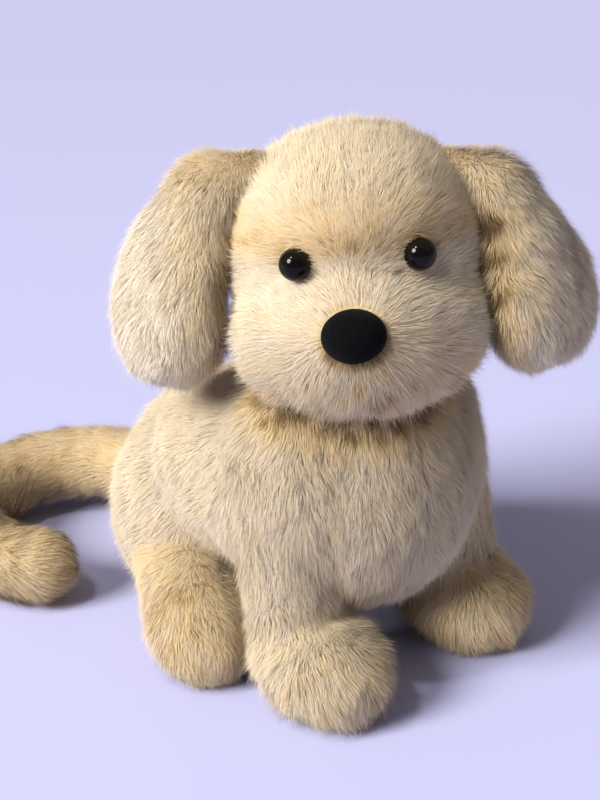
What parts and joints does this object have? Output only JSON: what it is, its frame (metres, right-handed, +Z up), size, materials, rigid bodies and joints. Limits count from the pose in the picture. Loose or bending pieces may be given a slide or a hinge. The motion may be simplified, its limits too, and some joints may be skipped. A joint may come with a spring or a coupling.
{
  "type": "plush dog",
  "caption": "Sitting soft toy puppy in cream pile fabric with a turning head, hanging ears that lift, swinging legs and a curled tail.",
  "frame": {"origin": "middle of the footprint's bounding box, on the surface that the toy sits on", "axes": "+Z up, -Y the way the chest faces, +X towards the toy's left side"},
  "size_m": [0.1866, 0.2746, 0.218],
  "materials": {
    "cream_fur": "soft cream pile fabric",
    "tail_fur": "soft golden cream pile fabric",
    "sole_felt": "short brushed cloth",
    "fibre_filling": "white polyester fibre",
    "pellet_pouch": "woven pouch of plastic pellets",
    "eye_plastic": "polished dome",
    "nose_flock": "flocked black",
    "washer_plastic": "moulded white"
  },
  "bodies": {
    "torso": {"bean_pouch": "pellet_pouch", "belly_panel": "cream_fur", "seat_panel": "sole_felt", "torso_side_left": "cream_fur", "torso_side_right": "cream_fur", "torso_stuffing": "fibre_filling"},
    "head": {"chin_panel": "cream_fur", "crown_panel": "cream_fur", "eye_left": "eye_plastic", "eye_right": "eye_plastic", "eye_washer_left": "washer_plastic", "eye_washer_right": "washer_plastic", "head_side_left": "cream_fur", "head_side_right": "cream_fur", "head_stuffing": "fibre_filling", "muzzle_panel": "cream_fur", "nose": "nose_flock", "nose_washer": "washer_plastic"},
    "ear_left": {"ear_inner_left": "cream_fur", "ear_outer_left": "cream_fur", "ear_wadding_left": "fibre_filling"},
    "ear_right": {"ear_inner_right": "cream_fur", "ear_outer_right": "cream_fur", "ear_wadding_right": "fibre_filling"},
    "front_leg_left": {"front_leg_inner_panel_left": "cream_fur", "front_leg_outer_panel_left": "cream_fur", "front_leg_sole_left": "sole_felt", "front_leg_stuffing_left": "fibre_filling"},
    "front_leg_right": {"front_leg_inner_panel_right": "cream_fur", "front_leg_outer_panel_right": "cream_fur", "front_leg_sole_right": "sole_felt", "front_leg_stuffing_right": "fibre_filling"},
    "hind_leg_left": {"hind_leg_inner_panel_left": "cream_fur", "hind_leg_outer_panel_left": "cream_fur", "hind_leg_sole_left": "sole_felt", "hind_leg_stuffing_left": "fibre_filling"},
    "hind_leg_right": {"hind_leg_inner_panel_right": "cream_fur", "hind_leg_outer_panel_right": "cream_fur", "hind_leg_sole_right": "sole_felt", "hind_leg_stuffing_right": "fibre_filling"},
    "tail": {"tail_lower": "tail_fur", "tail_stuffing": "fibre_filling", "tail_upper": "tail_fur"}
  },
  "joints": [
    {"name": "head_turn", "type": "hinge", "parent": "torso", "child": "head", "pos_m": [0.0144, -0.06472, 0.118], "axis": [0, 0, 1], "range_deg": [-25, 40], "stiffness_Nm_per_rad": 0.5},
    {"name": "ear_left_lift", "type": "hinge", "parent": "head", "child": "ear_left", "pos_m": [0.0473, -0.08966, 0.20725], "axis": [-0.6259, -0.7729, 0.1045], "range_deg": [0, 45], "stiffness_Nm_per_rad": 0.08},
    {"name": "ear_right_lift", "type": "hinge", "parent": "head", "child": "ear_right", "pos_m": [-0.01665, -0.03883, 0.20014], "axis": [0.6259, 0.7729, -0.1045], "range_deg": [0, 45], "stiffness_Nm_per_rad": 0.08},
    {"name": "front_leg_left_swing", "type": "hinge", "parent": "torso", "child": "front_leg_left", "pos_m": [0.0524, -0.07072, 0.098], "axis": [-1, 0, 0], "range_deg": [-2, 35], "stiffness_Nm_per_rad": 1.2},
    {"name": "front_leg_right_swing", "type": "hinge", "parent": "torso", "child": "front_leg_right", "pos_m": [-0.02361, -0.07072, 0.098], "axis": [-1, 0, 0], "range_deg": [-2, 35], "stiffness_Nm_per_rad": 1.2},
    {"name": "hind_leg_left_lift", "type": "hinge", "parent": "torso", "child": "hind_leg_left", "pos_m": [0.0524, -0.00072, 0.04], "axis": [-0.891, -0.454, 0], "range_deg": [-2, 25], "stiffness_Nm_per_rad": 1.2},
    {"name": "hind_leg_right_lift", "type": "hinge", "parent": "torso", "child": "hind_leg_right", "pos_m": [-0.02361, -0.00072, 0.04], "axis": [-0.891, 0.454, 0], "range_deg": [-2, 25], "stiffness_Nm_per_rad": 1.2},
    {"name": "tail_wag", "type": "hinge", "parent": "torso", "child": "tail", "pos_m": [0.0144, 0.04728, 0.024], "axis": [0, 0, 1], "range_deg": [-20, 15], "stiffness_Nm_per_rad": 0.4}
  ]
}
